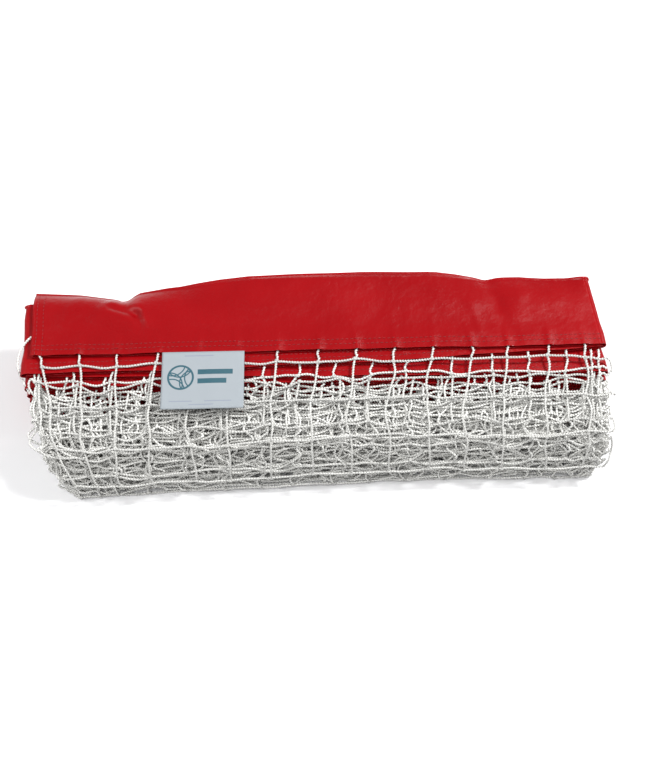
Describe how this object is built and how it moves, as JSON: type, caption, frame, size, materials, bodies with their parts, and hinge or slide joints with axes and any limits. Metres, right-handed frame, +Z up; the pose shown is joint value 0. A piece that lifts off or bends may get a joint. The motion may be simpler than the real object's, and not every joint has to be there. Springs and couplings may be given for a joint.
{
  "type": "folded volleyball net",
  "caption": "Volleyball net folded flat: a vinyl headband in a zigzag stack with its knotted netting gathered along the front and a sewn label.",
  "frame": {"origin": "centre of the bundle's box, on the surface it lies on", "axes": "+Z up; +X along the folds, towards the first turn; -Y towards the gathered netting"},
  "size_m": [0.5718, 0.193, 0.0892],
  "materials": {
    "vinyl": "coated fabric, soft gloss",
    "rope": "twisted",
    "cord": "twisted cord",
    "thread": "matte",
    "label": "satin weave, printed"
  },
  "bodies": {
    "stack": {"headband_stack": "vinyl", "headband_first_turn": "vinyl", "head_rope_stack": "rope", "head_rope_first_turn": "rope", "selvedge_cord_stack": "cord", "selvedge_cord_first_turn": "cord", "hem_thread_stack": "thread", "netting_bundle": "cord"},
    "front_fold": {"headband_front": "vinyl", "head_rope_front": "rope", "selvedge_cord_front": "cord", "hem_thread_front": "thread", "end_thread_front": "thread", "netting_front_ply": "cord"},
    "label": {"label": "label"}
  },
  "joints": [
    {"name": "front_fold_opens", "type": "hinge", "parent": "stack", "child": "front_fold", "pos_m": [0.281, 0, 0.08363], "axis": [0, 1, 0], "range_deg": [0, 180], "deforming": ["headband_first_turn", "head_rope_first_turn", "selvedge_cord_first_turn"]},
    {"name": "label_lifts", "type": "hinge", "parent": "front_fold", "child": "label", "pos_m": [-0.109, 0.0109, 0.0889], "axis": [-1, 0, 0], "range_deg": [0, 170]}
  ]
}
